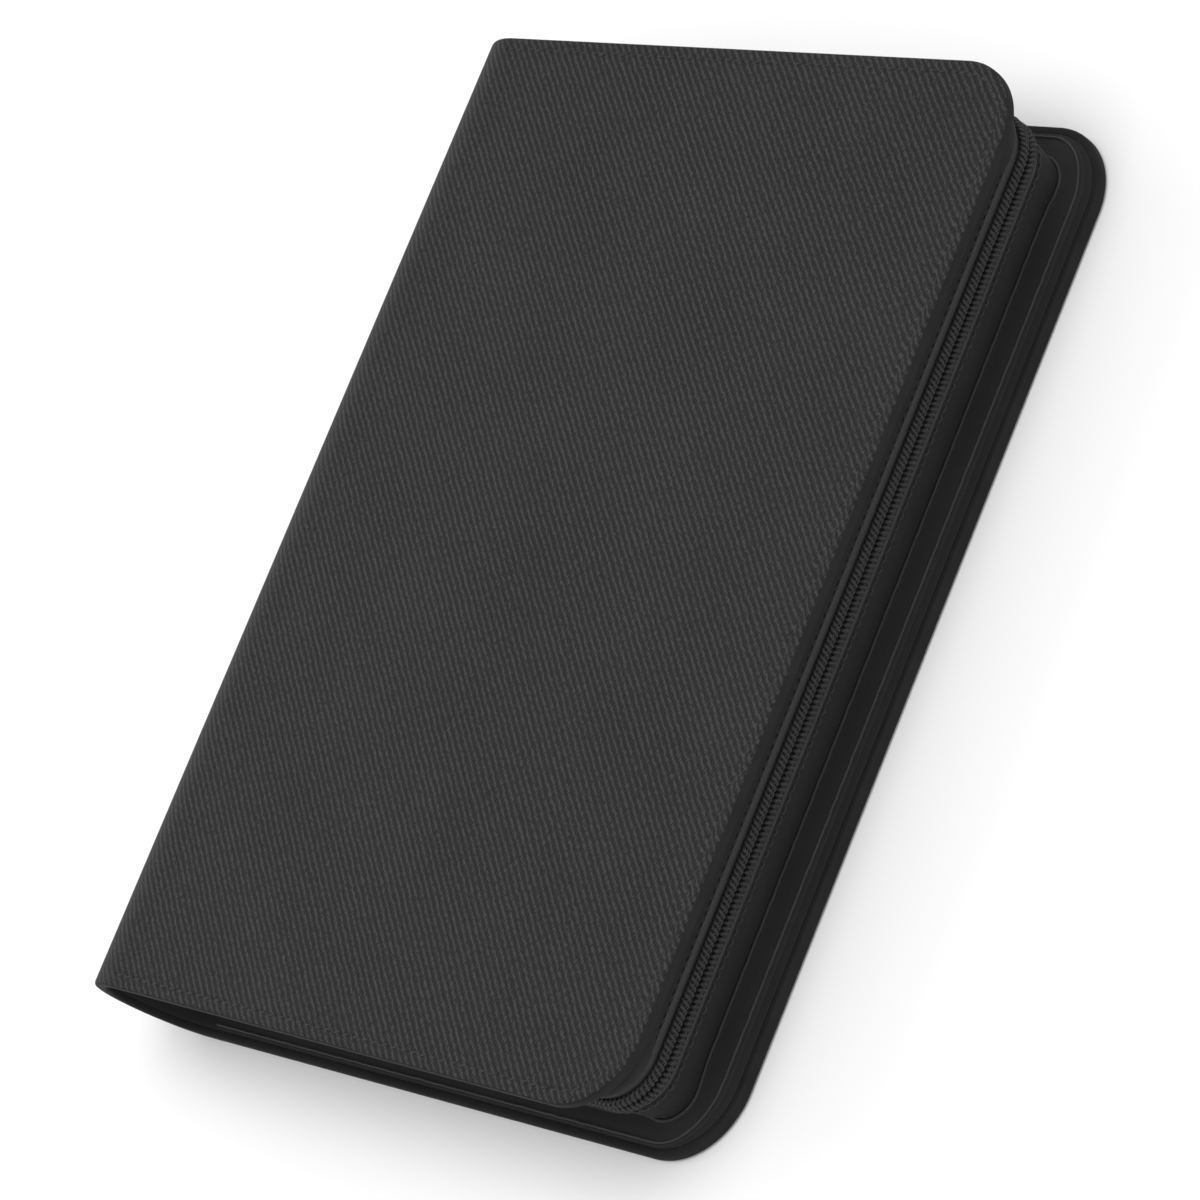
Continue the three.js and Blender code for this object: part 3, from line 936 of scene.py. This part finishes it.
def rounded(outline, y0, y1, bevel, shape, slot=0):
    """A plate between two heights of y, whose outline is in (x, z), with every edge rounded."""
    work = bmesh.new()
    low = [work.verts.new((x, y0, z)) for x, z in outline]
    high = [work.verts.new((x, y1, z)) for x, z in outline]
    work.faces.new(low)
    work.faces.new(high)
    for i in range(len(outline)):
        j = (i + 1) % len(outline)
        work.faces.new((low[i], low[j], high[j], high[i]))
    bmesh.ops.recalc_face_normals(work, faces=work.faces)
    rims = [e for e in work.edges if abs(e.verts[0].co.y - e.verts[1].co.y) < 1e-6]
    bmesh.ops.bevel(work, geom=rims, offset=bevel, segments=3, profile=0.5, affect="EDGES")
    work.verts.index_update()
    spots = shape.add([tuple(v.co) for v in work.verts], [(v.co.x, v.co.z) for v in work.verts])
    for face in work.faces:
        shape.face([spots[v.index] for v in face.verts], slot)
    work.free()


def bar_outline(x0, x1, z0, z1, corner, steps=5):
    """A rectangle in (x, z) with round corners."""
    outline = []
    for cx, cz, start in ((x1 - corner, z0 + corner, -90), (x1 - corner, z1 - corner, 0),
                          (x0 + corner, z1 - corner, 90), (x0 + corner, z0 + corner, 180)):
        for i in range(steps + 1):
            a = math.radians(start + 90 * i / steps)
            outline.append((cx + corner * math.cos(a), cz + corner * math.sin(a)))
    return outline


def in_binder(node):
    """A CAD node's box in the binder's own frame, in millimetres."""
    low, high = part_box(node)
    origin = Vector((FOLD_X, cad_low.y, cad_low.z))
    return (low - origin) / MM, (high - origin) / MM


def slider():
    """Two plates whose sides turn towards each other round the coil, a thin post and a bail."""
    low, high = in_binder("zip_slider")
    x0, x1, half = low.x, high.x, (high.z - low.z) / 2
    plate, rise = 1.1, 2.2
    front = high.y - rise - plate  # inner face of the outer plate
    shape = Shape()
    tail, chamfer = half - 0.55, 0.8
    lower = [(x0, chamfer - tail), (x0 + chamfer, -tail), (x1 - 2.6, -half), (x1, 0.9 - half)]
    outline = [(x, MIDDLE + z) for x, z in lower] + [(x, MIDDLE - z) for x, z in reversed(lower)]
    rounded(outline, front, front + plate, 0.32, shape)
    rounded(outline, low.y, low.y + plate, 0.32, shape)
    rounded(bar_outline(x0 + 0.8, x0 + 3.8, MIDDLE - 0.2, MIDDLE + 0.2, 0.15, 3),
            low.y + plate / 2, front + plate / 2, 0.03, shape)
    lip = front - 1.7
    for way in (-1, 1):
        a, b = sorted((MIDDLE + way * (half - 0.68), MIDDLE + way * (half - 0.03)))
        rounded(bar_outline(x0 + 1.1, x1 - 1.7, a, b, 0.2, 3), lip, front + plate / 2, 0.15, shape)
    middle, wire = (x0 + x1) / 2, 0.45
    arch = [(middle - 2.5 + wire, front + plate - 0.3, MIDDLE)]
    for i in range(13):
        a = math.pi * i / 12
        arch.append((middle - (2.5 - wire) * math.cos(a),
                     front + plate + rise - wire - 1.1 * (1 - math.sin(a)) ** 1.6, MIDDLE))
    arch.append((middle + 2.5 - wire, front + plate - 0.3, MIDDLE))
    shape.tube(arch, wire, sides=10)
    return piece("slider_body", shape, METAL, "slider", ["zip_slider"], crisp=50)


def pull():
    """A loop through the bail that carries a tongue with a raised rim and grip ribs."""
    low, high = in_binder("pull_tab")
    wire = 0.44
    axis_x = low.x + 0.45
    y = (low.y + high.y) / 2
    body = axis_x + 4.6
    shape = Shape()
    half = (high.z - low.z) / 2 - wire
    arm = [(body + 0.6, half), (axis_x + 1.4, half), (axis_x + 0.35, half - 0.1), (axis_x, half - 0.6)]
    loop = arm + [(x, -z) for x, z in reversed(arm)]
    shape.tube([(x, y, MIDDLE + z) for x, z in loop], wire, sides=10)
    outline = bar_outline(body - 0.3, high.x, MIDDLE - half - wire, MIDDLE + half + wire, 2.3, 8)
    rounded(outline, y - 0.3, y + 0.3, 0.2, shape)
    ring = bar_outline(body + 0.3, high.x - 0.55, MIDDLE - half + 0.1, MIDDLE + half - 0.1, 1.9, 8)
    raised, ribs, rib_from, rib_pitch, rib_half = 0.2, 6, 8.0, 1.5, 1.2
    for level in (y - 0.24, y + 0.24):
        shape.tube([(x, level, z) for x, z in ring + ring[:1]], raised)
    for i in range(ribs):
        x = body + rib_from + i * rib_pitch
        for level in (y - 0.24, y + 0.24):
            shape.tube([(x, level, MIDDLE - rib_half), (x, level, MIDDLE + rib_half)], raised)
    return piece("pull_tongue", shape, METAL, "pull", ["pull_tab"], crisp=50)


def end_stop(name):
    """A crimped metal stop: a rounded block with two pinched grooves."""
    low, high = in_binder(f"{name}_end_stop")
    shape = Shape()
    outline = []
    steps = 10
    for edge, way in ((low.z, 1), (high.z, -1)):
        for i in range(steps + 1):
            s = i / steps if way > 0 else 1 - i / steps
            pinch = 0.14 * math.sin(math.pi * 2 * s) ** 2
            outline.append((low.x + (high.x - low.x) * s, edge + way * pinch))
    rounded(outline, low.y, high.y, 0.2, shape)
    return piece(f"{name}_stop_crimp", shape, METAL, f"{name}_cover",
                 [f"{name}_end_stop"], crisp=50)


# ---------------------------------------------------------------- pages

PAGES = 20
POCKETS = 2  # across, and down
POCKET_MARGIN = 4.0
POCKET_WELD = 5.0
PAGE_FILM = 0.3
PAGE_CORNER = 5.0
PAGE_FREE = 19.0 - RADIUS  # x where the pockets begin
PAGE_BEAD = 0.3  # radius of the bead at a page's root
FILM_LIFT = 0.28  # how far a pocket's film stands off its page


def pillow(shape, x0, x1, y0, y1, base, lift, way, wave):
    """A pocket's film over the sheet: flat where it is welded, lifted inside, open at its inner side."""
    wide, tall, flat = x1 - x0, y1 - y0, 2.6
    xs = [0, 0.15, 0.6, 1.4, flat] + [flat + (wide - 2 * flat) * i / 6 for i in range(1, 7)]
    xs += [wide - 1.4, wide - 0.6, wide]
    ys = [0, 0.6, 1.4, flat] + [flat + (tall - 2 * flat) * i / 8 for i in range(1, 9)]
    ys += [tall - 1.4, tall - 0.6, tall]
    grid = []
    for x in xs:
        line = []
        for y in ys:
            edge = min(y, tall - y, wide - x)
            rise = smooth(edge, 0, 2.4) * (0.55 + 0.45 * smooth(x, 0, 12))
            ripple = 0.85 + 0.15 * math.sin(x / 11 + wave) * math.cos(y / 17 + wave * 2)
            line.append((x0 + x, y0 + y, base + way * max(0.03, lift * rise * ripple)))
        grid.append(shape.add(line))
    under = [shape.add([(x0 + x, y0 + y, base - way * 0.05) for y in ys]) for x in xs]
    for layer in (grid, under):
        for one, other in zip(layer, layer[1:]):
            shape.strip(one, other, 1)
    for end in (0, -1):
        shape.strip(grid[end], under[end], 1)
    for end in (0, -1):
        shape.strip([line[end] for line in grid], [line[end] for line in under], 1)


def page(number):
    """A backing sheet rooted in a bead, with welded pockets on both faces."""
    name = f"page_{number:02d}"
    low, high = in_binder(name)
    z = (low.z + high.z) / 2
    shape = Shape()
    outline, steps = [], 8
    for cy, start in ((low.y + PAGE_CORNER, -90), (high.y - PAGE_CORNER, 0)):
        for i in range(steps + 1):
            a = math.radians(start + 90 * i / steps)
            outline.append((high.x - PAGE_CORNER + PAGE_CORNER * math.cos(a), cy + PAGE_CORNER * math.sin(a)))
    outline = [(low.x, low.y), *outline, (low.x, high.y)]
    faces = [shape.add([(x, y, z + lift) for x, y in outline]) for lift in (-PAGE_FILM / 2, PAGE_FILM / 2)]
    shape.strip(*faces, closed=True)
    shape.face(reversed(faces[0]))
    shape.face(faces[1])
    shape.tube([(low.x + 0.05, low.y + 0.4, z), (low.x + 0.05, high.y - 0.4, z)], PAGE_BEAD, sides=10)
    wide = (high.x - POCKET_MARGIN - PAGE_FREE - POCKET_WELD) / POCKETS
    tall = (high.y - low.y - 2 * POCKET_MARGIN - POCKET_WELD) / POCKETS
    for column in range(POCKETS):
        for row in range(POCKETS):
            x = PAGE_FREE + column * (wide + POCKET_WELD)
            y = low.y + POCKET_MARGIN + row * (tall + POCKET_WELD)
            for way in (-1, 1):
                wave = number * 1.7 + column + row * 2.3 + way
                pillow(shape, x, x + wide, y, y + tall, z + way * PAGE_FILM / 2, FILM_LIFT, way, wave)
    return piece(f"{name}_pockets", shape, [BACKING, FILM], name, [name])


# ---------------------------------------------------------------- assembly

def build():
    for name, reach, side in (("back", BACK_REACH, 1), ("front", FRONT_REACH, -1)):
        cover_skin(name, reach, side)
        cover_lining(name, reach, side)
        cover_stitches(name, reach, side)
        sewn_on = [tape(name, side), flange_cords(name, reach, side), hem_stitches(name, side)]
        gusset(name, reach, side)
        coil(name, side)
        end_stop(name)
        board = frame["nodes"][f"{name}_cover_board"]
        board.data.materials.clear()
        board.data.materials.append(BOARD)
    for number in range(1, STRIPS + 2):
        spine_wrap(number)
    slider()
    pull()
    for number in range(1, PAGES + 1):
        page(number)


build()


# ---------------------------------------------------------------- floor and light

FLOOR_SIZE = 16.0
FLOOR_GAP = 0.0003  # under the binder's CAD box, for the stitches on its back


def floor():
    mesh = bpy.data.meshes.new("floor")
    half = FLOOR_SIZE / 2
    z = cad_low.z - FLOOR_GAP
    corners = [(-half, -half, z), (half, -half, z), (half, half, z), (-half, half, z)]
    mesh.from_pydata(corners, [], [(0, 1, 2, 3)])
    n = Nodes("floor", Roughness=0.9, Specular_IOR_Level=0.1)
    n.shader.inputs["Base Color"].default_value = (0.93, 0.93, 0.93, 1)
    mesh.materials.append(n.finish())
    made = bpy.data.objects.new("floor", mesh)
    bpy.context.scene.collection.objects.link(made)


def softbox(name, azimuth, elevation, distance, size, power):
    """A square area light that looks at the binder; its azimuth is the direction that it stands in."""
    data = bpy.data.lights.new(name, "AREA")
    data.shape, data.size, data.energy = "SQUARE", size, power
    a, e = math.radians(azimuth), math.radians(elevation)
    away = Vector((math.cos(a) * math.cos(e), math.sin(a) * math.cos(e), math.sin(e)))
    made = bpy.data.objects.new(name, data)
    made.location = away * distance
    made.rotation_mode = "QUATERNION"
    made.rotation_quaternion = away.to_track_quat("Z", "Y")
    bpy.context.scene.collection.objects.link(made)


def world(strength):
    made = bpy.data.worlds.new("studio")
    made.use_nodes = True
    made.node_tree.nodes["Background"].inputs["Color"].default_value = (1, 1, 1, 1)
    made.node_tree.nodes["Background"].inputs["Strength"].default_value = strength
    bpy.context.scene.world = made


bpy.context.scene.view_settings.view_transform = "Standard"
floor()
world(0.6)
softbox("overhead", 20, 80, 1.6, 1.4, 15)
softbox("spine_side", 180, 28, 1.4, 1.0, 5)
softbox("fore_edge_fill", -16, 14, 1.5, 1.1, 4)
